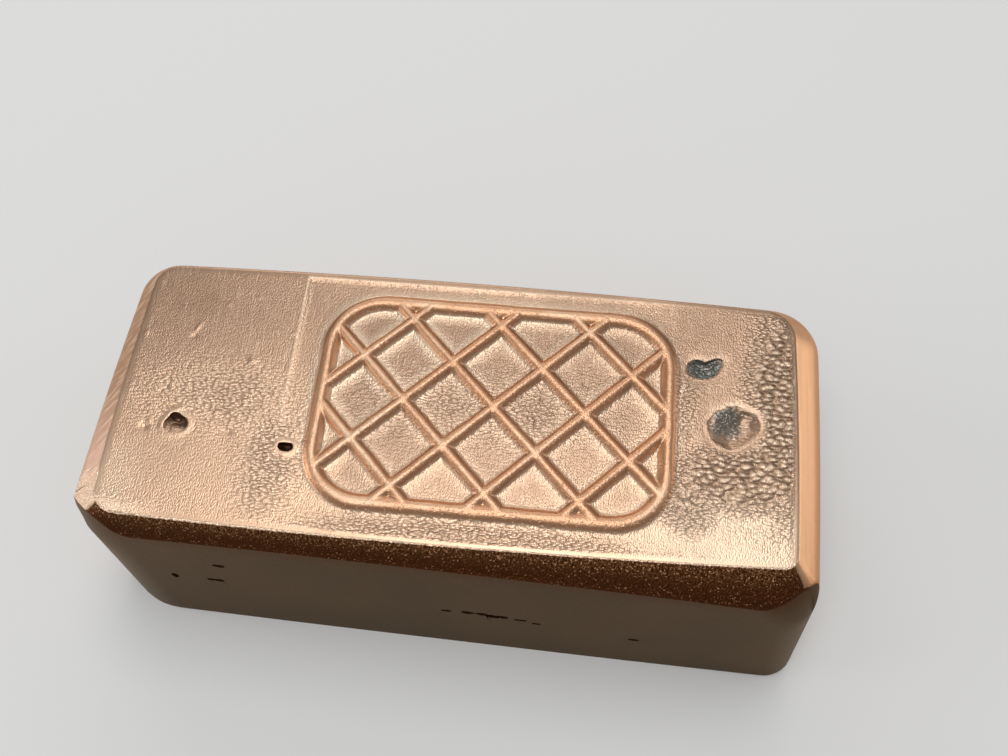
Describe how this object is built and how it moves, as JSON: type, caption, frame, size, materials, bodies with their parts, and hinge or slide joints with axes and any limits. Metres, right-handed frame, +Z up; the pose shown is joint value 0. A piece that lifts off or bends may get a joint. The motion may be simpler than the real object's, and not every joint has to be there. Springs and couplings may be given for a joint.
{
  "type": "copper ingot",
  "caption": "Chunky poured copper bar with turned-over edges, one flat ground side, gas cavities and a plain raised lattice ornament on top.",
  "frame": {"origin": "centre of the outer box on the level floor that the bar lies on", "axes": "+X along the bar's length, +Y away from the flat ground side, +Z up through the ornamented top"},
  "size_m": [0.0964, 0.047, 0.0289],
  "materials": {
    "copper": "satin"
  },
  "bodies": {
    "root": {"ingot": "copper"}
  },
  "joints": []
}
